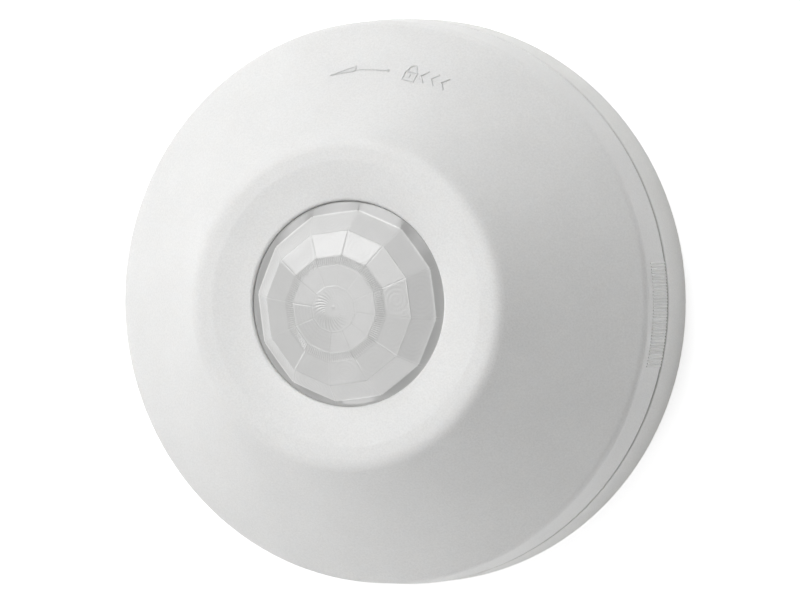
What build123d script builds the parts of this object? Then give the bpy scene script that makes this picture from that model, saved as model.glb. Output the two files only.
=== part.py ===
from build123d import *

# Ceiling motion sensor (passive infrared). Millimetres. The back of the base lies on z = 0, +Z runs
# out through the lens and +Y points at the turn arrow's side of the cover.
# The base is screwed to a ceiling box. The head twists on to it by four lugs, and its four blades
# slide into the base's spring clips as it turns. The cover presses on over the head.
# Radii run inwards from the foot of the base, and heights upwards from its back.

import os
from math import atan2, cos, tan

# Mounting base
base_foot_r = 57.1
base_flare = 0.1
base_h = 10.4
base_floor_t = 2.5
base_wall_t = 2.2
base_edge_round = 0.35
shelf_w = 3.6
shelf_depth = 1.9
lip_t = 0.9
lip_h = 0.6
back_recess_depth = 0.8
back_land_w = 6.0
back_rib_count = 8
back_rib_w = 1.6

# Fixing slots and cable entry
wide_slot_spacing = 88.9
narrow_slot_spacing = 69.85
slot_length = 9.0
slot_width = 4.6
slot_pad_margin = 2.4
entry_r = 11.1
entry_collar_t = 1.8
entry_collar_h = 2.2

# Twist lock between base and head
lug_count = 4
lug_centre_deg = 45.0
lug_half_deg = 5.0
twist_deg = 16.0
stop_clearance_deg = 0.3
stop_width_deg = 1.6
ledge_w = 2.4
lug_leg_t = 1.8
lug_foot_t = 1.6
lug_side_clearance = 0.4
lug_lift_clearance = 0.2

# Cover, from the seam over the base up to the crest and down the dish to the hole
seam_gap = 0.8
skirt_step = 0.1
skirt_taper = 0.65
skirt_h = 9.7
cone_h = 19.7
dish_depth = 1.2
cover_t = 2.2
hole_gap = 0.45
hole_edge_round = 0.6
dish_r = 28.4
dish_round = 3.0
crest_r = 32.2
crest_round = 4.0
rim_round = 2.4
seat_rib_count = 8
seat_rib_first_deg = 22.5
seat_rib_t = 1.2
key_rib_angles = (0.0, 180.0)
key_rib_t = 2.0
key_rib_depth = 5.0
fit_gap = 0.3

# Grip ribs on the cover's skirt
grip_angles = (0.0, 180.0)
grip_rib_count = 34
grip_step_deg = 0.63
grip_rib_w = 0.4
grip_rib_top_w = 0.12
grip_rib_proud = 0.17
grip_rib_root = 0.4
grip_top_drop = 2.7

# Head chassis
chassis_seat_gap = 0.3
chassis_floor_t = 1.8
chassis_rim_t = 2.0
chassis_rim_h = 8.1
chassis_rim_gap = 0.35
friction_strip_count = 6
friction_strip_first_deg = 30.0
friction_strip_deg = 1.6
friction_strip_rise = 2.6
friction_strip_drop = 0.6
press_clearance = 0.05

# Circuit board and the screws of the head
board_gap = 1.8
board_t = 1.6
boss_r = 2.9
boss_h = 4.3
boss_hole_floor_t = 0.8
screw_shank_r = 1.2
screw_clearance = 0.05
screw_hole_clearance = 0.25
screw_head_r = 2.4
screw_head_h = 1.7
screw_head_round = 0.7
screw_cross_length = 2.8
screw_cross_w = 0.7
screw_cross_depth = 0.9
screw_tip_gap = 0.3
board_screw_margin = 3.8
board_screw_angles = (5.0, 125.0, 245.0)
holder_screw_reach = 3.0
holder_screw_angles = (30.0, 150.0, 270.0)
creepage_slot_deg = 262.0
creepage_slot_margin = 5.0
creepage_slot_length = 16.0
creepage_slot_w = 1.6

# Lens: a dome of flat facets on a round neck. Its outer rings are given as inset from the neck and
# drop below the tip, and its inner rings as radius and drop. The tip lies off the neck's axis, and
# the rings lean back towards the axis as they drop.
lens_proud = 6.3
lens_h = 12.1
lens_t = 0.9
lens_neck_r = 19.9
lens_ledge_drop = 9.6
lens_neck_t = 2.0
lens_flange_w = 1.4
lens_flange_t = 1.0
lens_side_count = 12
lens_turn_deg = 25.0
lens_outer_rings = ((1.0, 7.3), (4.5, 3.1))
lens_inner_rings = ((10.7, 0.95), (8.8, 0.72), (4.6, 0.3), (1.5, 0.0))
lens_tip_shift = 0.98
lens_lean = 0.08

# Lens holder and retaining ring
holder_top_margin = 0.1
holder_flare = 1.2
holder_wall_t = 1.6
holder_land_h = 4.6
holder_pad_t = 2.0
holder_pad_r = 3.3
retainer_t = 0.9
retainer_neck_gap = 0.2
retainer_skirt_gap = 0.1
retainer_skirt_t = 1.5
retainer_skirt_h = 5.3
retainer_notch_count = 12
retainer_notch_r = 1.1
retainer_notch_depth = 0.7

# Base contacts, bent from strip, with their terminal screws
contact_t = 0.6
contact_w = 7.0
contact_length = 26.0
contact_end_gap = 4.8
contact_fold_round = 0.9
contact_leaf_length = 7.4
contact_leaf_round = 1.5
contact_tip_length = 1.8
contact_tip_rise = 1.1
contact_screw_inset = 6.0
contact_pillar_h = 2.5
contact_wall_t = 1.1
contact_wall_h = 1.7
contact_wall_length = 11.5
contact_side_gap = 0.1
clamp_w = 6.8
clamp_t = 1.1
clamp_chamfer = 0.8
terminal_shank_r = 1.75
terminal_shank_depth = 2.9
terminal_head_r = 3.1
terminal_head_h = 1.9
terminal_slot_length = 6.4
terminal_slot_w = 0.9
terminal_slot_depth = 0.9

# Head contact blades
blade_t = 0.8
blade_w = 6.0
blade_length = 9.2
blade_end_gap = 1.8
blade_bend_round = 1.2
blade_slot_clearance = 0.1

# Infrared detector
can_r = 4.1
can_h = 4.2
can_flange_r = 4.6
can_flange_t = 0.5
can_edge_round = 0.5
window_x = 4.0
window_y = 3.2
window_t = 0.4
window_sunk = 0.15
spacer_t = 0.8
pin_circle_r = 2.54
pin_r = 0.23
pin_hole_clearance = 0.1
pin_proud = 0.7
pin_angles = (45.0, 135.0, 225.0)

# Indicator and photocell, both inside the lens holder
led_place_r = 12.5
led_deg = 90.0
led_r = 1.5
led_flange_r = 1.8
led_flange_t = 0.6
led_h = 4.6
photocell_place_r = 12.5
photocell_deg = 270.0
photocell_r = 2.5
photocell_h = 2.2
photocell_edge_round = 0.4

# Power parts on the board
relay_place_r = 34.0
relay_deg = 300.0
relay_length = 28.5
relay_depth = 10.1
relay_h = 12.3
relay_base_h = 1.2
relay_base_step = 0.25
relay_edge_round = 0.7
film_cap_place_r = 34.0
film_cap_deg = 348.0
film_cap_length = 13.0
film_cap_depth = 6.0
film_cap_h = 11.5
film_cap_edge_round = 0.6
film_cap_foot_w = 1.2
film_cap_foot_h = 0.5
electrolytic_place_r = 32.5
electrolytic_deg = 52.0
electrolytic_r = 5.0
electrolytic_h = 13.5
electrolytic_round = 0.7
electrolytic_groove_z = 1.9
electrolytic_groove_w = 1.2
electrolytic_groove_depth = 0.4
varistor_place_r = 37.0
varistor_deg = 22.0
varistor_r = 5.0
varistor_t = 4.0
varistor_round = 1.5
varistor_standoff = 1.4
varistor_lead_r = 0.4
varistor_lead_spacing = 5.0
fuse_place_r = 35.0
fuse_deg = 76.0
fuse_r = 4.2
fuse_h = 7.7
fuse_base_h = 1.0
fuse_base_step = 0.4
fuse_edge_round = 0.6
choke_place_r = 33.5
choke_deg = 102.0
choke_flange_r = 4.4
choke_flange_t = 1.2
choke_post_r = 2.1
choke_winding_r = 3.9
choke_h = 9.0

# Small parts on the board, in rows along arcs
chip_place_r = 35.5
chip_deg = 232.0
chip_w = 7.0
chip_h = 1.2
chip_standoff = 0.15
chip_edge_chamfer = 0.25
chip_lead_count = 8
chip_lead_spacing = 0.8
chip_lead_w = 0.34
chip_lead_t = 0.35
chip_lead_reach = 1.0
small_part_length = 2.0
small_part_w = 1.25
small_part_h = 0.6
small_part_count = 6
pot_row_gap = 2.25
chip_row_gap = 2.5
choke_row_gap = 4.1
small_part_first_deg = (170.0, 215.0, 86.0)
small_part_step_deg = (9.0, 4.0, 5.0)

# Adjusters: name and angle of each, then sizes
adjuster_deg = {"time": 168.0, "range": 187.0, "light": 206.0}
adjuster_place_r = 36.5
pot_w = 9.5
pot_h = 4.2
pot_edge_round = 0.5
pot_bore_depth = 2.2
knob_r = 3.0
knob_h = 5.0
knob_flute_count = 12
knob_flute_r = 0.45
knob_flute_gap = 0.6
knob_slot_w = 0.9
knob_slot_depth = 0.9
knob_pointer_w = 2.2
knob_pointer_length = 1.6
running_clearance = 0.05

# Switch block
dip_place_r = 38.0
dip_deg = 146.0
dip_count = 4
dip_spacing = 2.54
dip_depth = 6.2
dip_h = 3.4
dip_edge_round = 0.3
dip_end_margin = 1.4
dip_window_w = 1.3
dip_window_depth = 1.6
dip_slider_length = 1.5
dip_slider_proud = 0.7
dip_slider_chamfer = 0.25
dip_travel = 1.6

# Radii that follow from the sizes above
base_top_r = base_foot_r - base_flare
shelf_inner_r = base_top_r - shelf_w
ledge_inner_r = shelf_inner_r - ledge_w
lug_leg_outer_r = ledge_inner_r - lug_side_clearance
lug_leg_inner_r = lug_leg_outer_r - lug_leg_t
skirt_bottom_r = base_top_r - skirt_step
rim_r = skirt_bottom_r - skirt_taper
contact_outer_r = lug_leg_inner_r - contact_end_gap
contact_inner_r = contact_outer_r - contact_length
contact_screw_r = contact_inner_r + contact_screw_inset
contact_leaf_r = contact_outer_r - contact_leaf_length
contact_tip_r = contact_leaf_r - contact_tip_length
blade_tip_r = contact_outer_r - blade_end_gap
blade_leg_r = blade_tip_r - blade_length
hole_r = lens_neck_r + hole_gap
lens_bore_r = lens_neck_r - lens_neck_t
lens_flange_r = lens_neck_r + lens_flange_w
lens_rings = tuple((lens_neck_r - inset, drop) for inset, drop in lens_outer_rings) + lens_inner_rings
holder_top_r = lens_flange_r + holder_top_margin
holder_foot_r = holder_top_r + holder_flare
holder_screw_r = holder_foot_r + holder_screw_reach
retainer_inner_r = lens_neck_r + retainer_neck_gap
retainer_skirt_r = holder_top_r + retainer_skirt_gap
retainer_outer_r = retainer_skirt_r + retainer_skirt_t
pot_row_r = adjuster_place_r - pot_w / 2 - pot_row_gap
chip_row_r = chip_place_r + chip_w / 2 + chip_lead_reach + chip_row_gap
choke_row_r = choke_place_r + choke_flange_r + choke_row_gap
small_part_row_r = (pot_row_r, chip_row_r, choke_row_r)

# Heights and angles that follow
lip_top_z = base_h + lip_h
shelf_low_z = base_h - shelf_depth
contact_low_z = base_floor_t + contact_pillar_h
blade_low_z = contact_low_z + contact_t + press_clearance
contact_top_z = blade_low_z + blade_t + press_clearance + contact_t
clamp_low_z = contact_low_z + contact_t
clamp_top_z = clamp_low_z + clamp_t
skirt_bottom_z = base_h + seam_gap
rim_z = skirt_bottom_z + skirt_h
crest_z = rim_z + cone_h
hole_edge_z = crest_z - dish_depth
grip_top_z = rim_z - grip_top_drop
chassis_low_z = lip_top_z + chassis_seat_gap
chassis_floor_z = chassis_low_z + chassis_floor_t
chassis_rim_top_z = chassis_low_z + chassis_rim_h
key_rib_low_z = chassis_rim_top_z - key_rib_depth
board_low_z = chassis_low_z + boss_h
board_top_z = board_low_z + board_t
boss_hole_low_z = chassis_low_z + boss_hole_floor_t
lens_top_z = crest_z + lens_proud
lens_low_z = lens_top_z - lens_h
lens_ledge_z = lens_top_z - lens_ledge_drop
retainer_low_z = lens_low_z + lens_flange_t + retainer_t - retainer_skirt_h
can_low_z = board_top_z + spacer_t
pot_bore_z = board_top_z + pot_h - pot_bore_depth
dip_window_z = board_top_z + dip_h - dip_window_depth
dish_slope = atan2(dish_depth, dish_r - hole_r)
skirt_draft = atan2(skirt_taper, skirt_h)
lug_angles = [lug_centre_deg + i * 360 / lug_count for i in range(lug_count)]


# Tools for drawing


def parallel_line(points, depth):
    """Corners of the line that runs to the right of a line, a depth from it."""
    path = [Vector(*point) for point in points]
    sides = [(after - before).normalized() for before, after in zip(path, path[1:])]
    moved = []
    for corner, first, second in zip(path, [sides[0]] + sides, sides + [sides[-1]]):
        right = Vector(first.Y, -first.X)
        middle = (right + Vector(second.Y, -second.X)).normalized()
        place = corner + middle * (depth / middle.dot(right))
        moved.append((place.X, place.Y))
    return moved


def upright(outline):
    """Face in the upright plane, with radius along x and height along z."""
    return Plane.XZ * make_face(outline)


def turned(*points):
    """Solid of revolution about the upright axis from (radius, height) points."""
    return revolve(upright(Polyline(*points, close=True)), axis=Axis.Z)


def sector(points, start_deg, sweep_deg):
    """Part turn of a (radius, height) outline, from a start angle."""
    face = upright(Polyline(*points, close=True))
    return Rot(0, 0, start_deg) * revolve(face, axis=Axis.Z, revolution_arc=sweep_deg)


def four_corners(inner_r, outer_r, low_z, high_z):
    return ((inner_r, low_z), (outer_r, low_z), (outer_r, high_z), (inner_r, high_z))


def ring(inner_r, outer_r, low_z, high_z):
    return turned(*four_corners(inner_r, outer_r, low_z, high_z))


def rod(radius, low_z, high_z):
    return Pos(0, 0, low_z) * extrude(Circle(radius), amount=high_z - low_z)


def block(x_size, y_size, low_z, high_z):
    return Pos(0, 0, low_z) * extrude(Rectangle(x_size, y_size), amount=high_z - low_z)


def placed(shape, radius, angle_deg):
    """Carry a shape drawn at the origin out to a radius, turned to face outwards there."""
    return Rot(0, 0, angle_deg) * Pos(radius, 0, 0) * shape


def around(shape, radius, angles):
    return [placed(shape, radius, angle) for angle in angles]


def group(shapes):
    """Separate solids that are kept together in one node."""
    return Compound(children=[solid for shape in shapes for solid in shape.solids()])


def round_top(shape, radius):
    return fillet(shape.faces().sort_by(Axis.Z)[-1].edges(), radius)


def round_upright_edges(shape, radius):
    return fillet(shape.edges().filter_by(Axis.Z), radius)


def bent_strip(points, rounds, thickness, width):
    """Sheet metal strip along (radius, height) points, thick to their left and wide along y."""
    path = [Vector(*point) for point in points]
    sides = [after - before for before, after in zip(path, path[1:])]
    left_turns = [first.cross(second).Z > 0 for first, second in zip(sides, sides[1:])]
    growth = [-thickness if left else thickness for left in left_turns]
    beside = parallel_line(points, -thickness)
    beside_rounds = [size + change for size, change in zip(rounds, growth)]
    outline = FilletPolyline(*points, radius=rounds)
    outline += FilletPolyline(*beside, radius=beside_rounds)
    outline += Polyline(points[0], beside[0])
    outline += Polyline(points[-1], beside[-1])
    return extrude(upright(outline), amount=width / 2, both=True)


def bend(points, radius, thickness, width):
    """The same for a strip with a single bend, which a fillet of the drawn corner makes."""
    return bent_strip(points, [radius], thickness, width)


def pan_screw(shank_r, tip_z, seat_z, head_r, head_h, slot_length, slot_w, slot_depth):
    """Screw standing on seat_z, with a cross cut in its head."""
    top_z = seat_z + head_h
    head = round_top(rod(head_r, seat_z, top_z), screw_head_round)
    head -= block(slot_length, slot_w, top_z - slot_depth, top_z)
    head -= block(slot_w, slot_length, top_z - slot_depth, top_z)
    return head + rod(shank_r, tip_z, seat_z)


# Base and its contacts


def base_wall_r(z):
    """Outside of the base's flared wall."""
    return base_foot_r - z * (base_foot_r - base_top_r) / base_h


def base_body():
    lip_outer_r = shelf_inner_r + lip_t
    outline = [(0, 0), (base_foot_r, 0), (base_top_r, base_h)]
    outline += [(lip_outer_r, base_h), (lip_outer_r, lip_top_z), (shelf_inner_r, lip_top_z)]
    outline += [(shelf_inner_r, shelf_low_z), (base_wall_r(shelf_low_z) - base_wall_t, shelf_low_z)]
    outline += [(base_wall_r(base_floor_t) - base_wall_t, base_floor_t), (0, base_floor_t)]
    body = turned(*outline)
    top_edges = body.edges().filter_by(GeomType.CIRCLE).filter_by_position(Axis.Z, base_h, base_h)
    return fillet(top_edges.sort_by(SortBy.RADIUS)[-1], base_edge_round)


def lock_ledge(centre_deg):
    """Ledge over a lug at rest, and the two stops that bound the lug's turn."""
    first_deg = centre_deg - lug_half_deg - stop_clearance_deg - stop_width_deg
    last_deg = centre_deg + lug_half_deg + twist_deg + stop_clearance_deg
    ledge_end_deg = centre_deg - lug_half_deg + twist_deg - stop_width_deg
    root_r = shelf_inner_r + lip_t
    stop_root_r = base_top_r - base_wall_t / 2
    ledge = four_corners(ledge_inner_r, root_r, shelf_low_z, base_h)
    stop = four_corners(ledge_inner_r, stop_root_r, base_floor_t, base_h)
    shapes = [sector(ledge, first_deg, ledge_end_deg - first_deg)]
    shapes += [sector(stop, start, stop_width_deg) for start in (first_deg, last_deg)]
    return shapes


def contact_pillar():
    """Moulded seat of one contact, with walls that keep the clamp from turning."""
    pillar_w = contact_w + 2 * (contact_side_gap + contact_wall_t)
    pillar_end_r = contact_outer_r - contact_fold_round
    pillar_length = pillar_end_r - contact_inner_r
    wall_y = (pillar_w - contact_wall_t) / 2
    wall_top_z = contact_low_z + contact_wall_h
    pillar = block(pillar_length, pillar_w, base_floor_t, contact_low_z)
    wall = block(contact_wall_length, contact_wall_t, base_floor_t, wall_top_z)
    wall_x = contact_inner_r + contact_wall_length / 2
    walls = [Pos(wall_x, side * wall_y, 0) * wall for side in (-1, 1)]
    return Pos(contact_inner_r + pillar_length / 2, 0, 0) * pillar + walls


def slot_sketch(margin):
    """The four fixing slots, each grown by a margin all round."""
    slot = SlotOverall(slot_length + 2 * margin, slot_width + 2 * margin)
    slots = [placed(slot, wide_slot_spacing / 2, angle) for angle in (0, 180)]
    slots += [placed(slot, narrow_slot_spacing / 2, angle) for angle in (90, 270)]
    return Sketch() + slots


def back_recess():
    """Shallow recess in the back, with ribs and slot pads left standing."""
    recess_r = base_foot_r - back_land_w
    sketch = Circle(recess_r) - Circle(entry_r + entry_collar_t)
    for i in range(back_rib_count):
        angle = (i + 0.5) * 360 / back_rib_count
        sketch -= placed(Rectangle(recess_r, back_rib_w), recess_r / 2, angle)
    return extrude(sketch - slot_sketch(slot_pad_margin), amount=back_recess_depth)


def mounting_base():
    collar_top_z = base_floor_t + entry_collar_h
    body = base_body() + rod(entry_r + entry_collar_t, base_floor_t, collar_top_z)
    body += [shape for centre in lug_angles for shape in lock_ledge(centre)]
    body += around(contact_pillar(), 0, lug_angles)
    screw_hole_z = contact_low_z - terminal_shank_depth - screw_tip_gap
    screw_hole = rod(terminal_shank_r + screw_clearance, screw_hole_z, contact_low_z)
    body -= around(screw_hole, contact_screw_r, lug_angles)
    body -= rod(entry_r, 0, collar_top_z)
    body -= extrude(slot_sketch(0), amount=base_floor_t)
    return body - back_recess()


def contact_plate():
    """Folded spring clip: a blade slides in sideways between its two leaves."""
    line = [(contact_inner_r, contact_low_z), (contact_outer_r, contact_low_z)]
    line += [(contact_outer_r, contact_top_z), (contact_leaf_r, contact_top_z)]
    line += [(contact_tip_r, contact_top_z + contact_tip_rise)]
    rounds = [contact_fold_round, contact_fold_round, contact_leaf_round]
    strip = bent_strip(line, rounds, contact_t, contact_w)
    hole = rod(terminal_shank_r + screw_clearance, contact_low_z, clamp_low_z)
    return strip - Pos(contact_screw_r, 0, 0) * hole


def clamp_washer():
    plate = block(clamp_w, clamp_w, clamp_low_z, clamp_top_z)
    plate = chamfer(plate.edges().filter_by(Axis.Z), clamp_chamfer)
    return plate - rod(terminal_shank_r + screw_clearance, clamp_low_z, clamp_top_z)


def terminal_screw():
    tip_z = contact_low_z - terminal_shank_depth
    slot = (terminal_slot_length, terminal_slot_w, terminal_slot_depth)
    return pan_screw(terminal_shank_r, tip_z, clamp_top_z, terminal_head_r, terminal_head_h, *slot)


# Cover


def skirt_inner_r(z):
    """Inside of the cover's drafted skirt."""
    return skirt_bottom_r - (z - skirt_bottom_z) * tan(skirt_draft) - cover_t / cos(skirt_draft)


def chassis_rim_inner_r():
    """Inside of the chassis rim, which stands a gap inside the skirt."""
    return skirt_inner_r(chassis_rim_top_z) - chassis_rim_gap - chassis_rim_t


def cover_form(depth):
    """Solid of revolution under a line that runs a depth inside the cover's outside."""
    outside = [(0, hole_edge_z - hole_r * tan(dish_slope)), (dish_r, crest_z)]
    outside += [(crest_r, crest_z), (rim_r, rim_z), (skirt_bottom_r, skirt_bottom_z)]
    line = parallel_line(outside, depth)
    rounds = [dish_round - depth, crest_round - depth, rim_round - depth]
    end_z = line[-1][1]
    outline = FilletPolyline(*line, radius=rounds) + Polyline(line[-1], (0, end_z), line[0])
    return revolve(upright(outline), axis=Axis.Z)


def cover_rib(thickness, low_z):
    """Rib in the corner between cone and skirt, drawn at angle 0 and rooted in the wall."""
    length = skirt_bottom_r - chassis_rim_inner_r()
    place_r = chassis_rim_inner_r() + length / 2
    plate = Pos(place_r, 0, 0) * block(length, thickness, low_z, crest_z)
    return plate & cover_form(cover_t / 2)


def grip_rib():
    """Upright rib that follows the skirt's slope, drawn at angle 0."""
    root_r = skirt_bottom_r - grip_rib_root
    crown_r = skirt_bottom_r + grip_rib_proud
    half_w = grip_rib_w / 2
    half_top_w = grip_rib_top_w / 2
    section = [(root_r, -half_w), (skirt_bottom_r, -half_w), (crown_r, -half_top_w)]
    section += [(x, -y) for x, y in reversed(section)]
    slope = Vector(rim_r - skirt_bottom_r, 0, rim_z - skirt_bottom_z)
    length = (grip_top_z - skirt_bottom_z) / cos(skirt_draft)
    face = Pos(0, 0, skirt_bottom_z) * Polygon(*section, align=None)
    return extrude(face, amount=length, dir=slope)


def front_cover():
    shell = cover_form(0) - cover_form(cover_t)
    shell -= rod(hole_r, skirt_bottom_z - cover_t, crest_z)
    circles = shell.edges().filter_by(GeomType.CIRCLE)
    hole_edges = circles.filter_by(lambda edge: abs(edge.radius - hole_r) < fit_gap)
    shell = fillet(hole_edges.sort_by(Axis.Z)[-1], hole_edge_round)
    seat_angles = [seat_rib_first_deg + i * 360 / seat_rib_count for i in range(seat_rib_count)]
    shell += around(cover_rib(seat_rib_t, chassis_rim_top_z), 0, seat_angles)
    shell += around(cover_rib(key_rib_t, key_rib_low_z), 0, key_rib_angles)
    first_grip = -(grip_rib_count - 1) / 2 * grip_step_deg
    grip_steps = [first_grip + i * grip_step_deg for i in range(grip_rib_count)]
    grips = [centre + step for centre in grip_angles for step in grip_steps]
    return shell + around(grip_rib(), 0, grips)


# Head: chassis, board and blades


def chassis_tray():
    low_r = skirt_inner_r(chassis_low_z) - chassis_rim_gap
    inner_r = chassis_rim_inner_r()
    top_r = inner_r + chassis_rim_t
    outline = [(0, chassis_low_z), (low_r, chassis_low_z), (top_r, chassis_rim_top_z)]
    outline += [(inner_r, chassis_rim_top_z), (inner_r, chassis_floor_z), (0, chassis_floor_z)]
    return turned(*outline)


def friction_strip(centre_deg):
    """Strip on the rim's outside that the skirt presses on, a hair clear of it as drawn."""
    heights = (chassis_low_z + friction_strip_rise, chassis_rim_top_z - friction_strip_drop)
    outer = [(skirt_inner_r(z) - press_clearance, z) for z in heights]
    root = [(skirt_inner_r(z) - chassis_rim_gap - chassis_rim_t / 2, z) for z in heights]
    return sector(outer + root[::-1], centre_deg - friction_strip_deg / 2, friction_strip_deg)


def twist_lug(centre_deg):
    """Leg below the tray with a foot that turns under the base's ledge."""
    foot_top_z = shelf_low_z - lug_lift_clearance
    foot_low_z = foot_top_z - lug_foot_t
    foot_outer_r = shelf_inner_r - fit_gap
    leg_root_z = chassis_low_z + chassis_floor_t / 2
    leg = four_corners(lug_leg_inner_r, lug_leg_outer_r, foot_low_z, leg_root_z)
    foot = four_corners(lug_leg_inner_r, foot_outer_r, foot_low_z, foot_top_z)
    start_deg = centre_deg - lug_half_deg
    return [sector(shape, start_deg, 2 * lug_half_deg) for shape in (leg, foot)]


def board_r():
    return chassis_rim_inner_r() - board_gap


def board_screw_r():
    return board_r() - board_screw_margin


def sensor_chassis():
    tray = chassis_tray()
    step = 360 / friction_strip_count
    strips = [friction_strip_first_deg + i * step for i in range(friction_strip_count)]
    tray += [friction_strip(angle) for angle in strips]
    tray += [shape for centre in lug_angles for shape in twist_lug(centre)]
    boss = rod(boss_r, chassis_low_z, board_low_z)
    hole = rod(screw_shank_r + screw_clearance, boss_hole_low_z, board_low_z)
    slot_size = (blade_t + 2 * blade_slot_clearance, blade_w + 2 * blade_slot_clearance)
    blade_slot = block(*slot_size, chassis_low_z, chassis_floor_z)
    notch_length = 2 * (chassis_rim_gap + chassis_rim_t + fit_gap)
    notch_size = (notch_length, key_rib_t + 2 * fit_gap)
    notch = block(*notch_size, key_rib_low_z - fit_gap, chassis_rim_top_z)
    notch_r = skirt_inner_r(chassis_rim_top_z)
    tray += around(boss, board_screw_r(), board_screw_angles)
    tray += around(boss, holder_screw_r, holder_screw_angles)
    tray -= around(hole, board_screw_r(), board_screw_angles)
    tray -= around(hole, holder_screw_r, holder_screw_angles)
    tray -= around(blade_slot, blade_leg_r + blade_t / 2, lug_angles)
    return tray - around(notch, notch_r, key_rib_angles)


def contact_blade():
    line = [(blade_leg_r, board_low_z), (blade_leg_r, blade_low_z), (blade_tip_r, blade_low_z)]
    return bend(line, blade_bend_round, blade_t, blade_w)


def circuit_board():
    sketch = Circle(board_r())
    screw_hole = Circle(screw_shank_r + screw_hole_clearance)
    sketch -= around(screw_hole, board_screw_r(), board_screw_angles)
    sketch -= around(screw_hole, holder_screw_r, holder_screw_angles)
    sketch -= around(Circle(pin_r + pin_hole_clearance), pin_circle_r, pin_angles)
    creepage_slot = SlotOverall(creepage_slot_length, creepage_slot_w)
    slot_place_r = board_r() - creepage_slot_margin - creepage_slot_length / 2
    sketch -= placed(creepage_slot, slot_place_r, creepage_slot_deg)
    return Pos(0, 0, board_low_z) * extrude(sketch, amount=board_t)


def head_screw(seat_z):
    tip_z = boss_hole_low_z + screw_tip_gap
    cross = (screw_cross_length, screw_cross_w, screw_cross_depth)
    return pan_screw(screw_shank_r, tip_z, seat_z, screw_head_r, screw_head_h, *cross)


# Head: optics


def lens_ring(radius, drop, lean_drop):
    """Outline of the dome a drop below its tip, set off the axis as at another drop."""
    outline = Rot(0, 0, lens_turn_deg) * RegularPolygon(radius, lens_side_count)
    return Pos(0, lens_lean * lean_drop - lens_tip_shift, lens_top_z - drop) * outline


def lens_dome(depth):
    """Faceted dome on an upright riser, shrunk and lowered by a depth."""
    riser_r, riser_drop = lens_rings[0]
    foot_drop = lens_ledge_drop + lens_t / 2 + depth
    rings = [lens_ring(riser_r - depth, foot_drop, riser_drop)]
    rings += [lens_ring(radius - depth, drop + depth, drop) for radius, drop in lens_rings]
    return loft(rings, ruled=True)


def fresnel_lens():
    lens = rod(lens_neck_r, lens_low_z, lens_ledge_z)
    lens += rod(lens_flange_r, lens_low_z, lens_low_z + lens_flange_t)
    lens += lens_dome(0)
    lens -= rod(lens_bore_r, lens_low_z, lens_ledge_z - lens_t)
    return lens - lens_dome(lens_t)


def lens_holder():
    """Drafted tube round the detector, with three screwed feet."""
    land_z = lens_low_z - holder_land_h
    outside = [(holder_foot_r, board_top_z), (holder_top_r, land_z), (holder_top_r, lens_low_z)]
    inside = [(radius - holder_wall_t, z) for radius, z in reversed(outside)]
    pad_top_z = board_top_z + holder_pad_t
    pad = rod(holder_pad_r, board_top_z, pad_top_z)
    heel = block(2 * holder_pad_r, 2 * holder_pad_r, board_top_z, pad_top_z)
    pad += Pos(-holder_pad_r, 0, 0) * heel
    pads = around(pad, holder_screw_r, holder_screw_angles)
    hole = rod(screw_shank_r + screw_hole_clearance, board_top_z, pad_top_z)
    core = turned((0, board_top_z), inside[-1], (inside[-1][0], pad_top_z), (0, pad_top_z))
    body = turned(*outside, *inside) + [foot - core for foot in pads]
    return body - around(hole, holder_screw_r, holder_screw_angles)


def lens_retainer():
    top_z = retainer_low_z + retainer_skirt_h
    under_z = top_z - retainer_t
    outline = [(retainer_inner_r, top_z), (retainer_outer_r, top_z)]
    outline += [(retainer_outer_r, retainer_low_z)]
    outline += [(retainer_skirt_r, retainer_low_z), (retainer_skirt_r, under_z)]
    outline += [(retainer_inner_r, under_z)]
    notch = rod(retainer_notch_r, retainer_low_z, top_z)
    notch_place_r = retainer_outer_r + retainer_notch_r - retainer_notch_depth
    angles = [i * 360 / retainer_notch_count for i in range(retainer_notch_count)]
    return turned(*outline) - around(notch, notch_place_r, angles)


def pyro_sensor():
    top_z = can_low_z + can_h
    can = round_top(rod(can_r, can_low_z, top_z), can_edge_round)
    can += rod(can_flange_r, can_low_z, can_low_z + can_flange_t)
    can -= block(window_x, window_y, top_z - window_t - window_sunk, top_z)
    pin = rod(pin_r, board_low_z - pin_proud, can_low_z)
    return can + around(pin, pin_circle_r, pin_angles)


def pyro_window():
    low_z = can_low_z + can_h - window_t - window_sunk
    size = (window_x - 2 * press_clearance, window_y - 2 * press_clearance)
    return block(*size, low_z, low_z + window_t)


def sensor_spacer():
    spacer = rod(can_flange_r, board_top_z, can_low_z)
    hole = rod(pin_r + pin_hole_clearance, board_top_z, can_low_z)
    return spacer - around(hole, pin_circle_r, pin_angles)


def motion_led():
    dome_z = board_top_z + led_h - led_r
    led = rod(led_flange_r, board_top_z, board_top_z + led_flange_t)
    led += rod(led_r, board_top_z, dome_z) + Pos(0, 0, dome_z) * Sphere(led_r)
    return placed(led, led_place_r, led_deg)


def photocell():
    cell = round_top(rod(photocell_r, board_top_z, board_top_z + photocell_h), photocell_edge_round)
    return placed(cell, photocell_place_r, photocell_deg)


# Head: power parts


def relay():
    """Slim sealed relay on a base that stands out a little all round."""
    base_size = (relay_depth, relay_length)
    case_size = [size - 2 * relay_base_step for size in base_size]
    base_top_z = board_top_z + relay_base_h
    case = block(*case_size, base_top_z, board_top_z + relay_h)
    case = round_top(round_upright_edges(case, relay_edge_round), relay_edge_round / 2)
    foot = block(*base_size, board_top_z, base_top_z)
    body = case + round_upright_edges(foot, relay_edge_round)
    return placed(body, relay_place_r, relay_deg)


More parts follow.
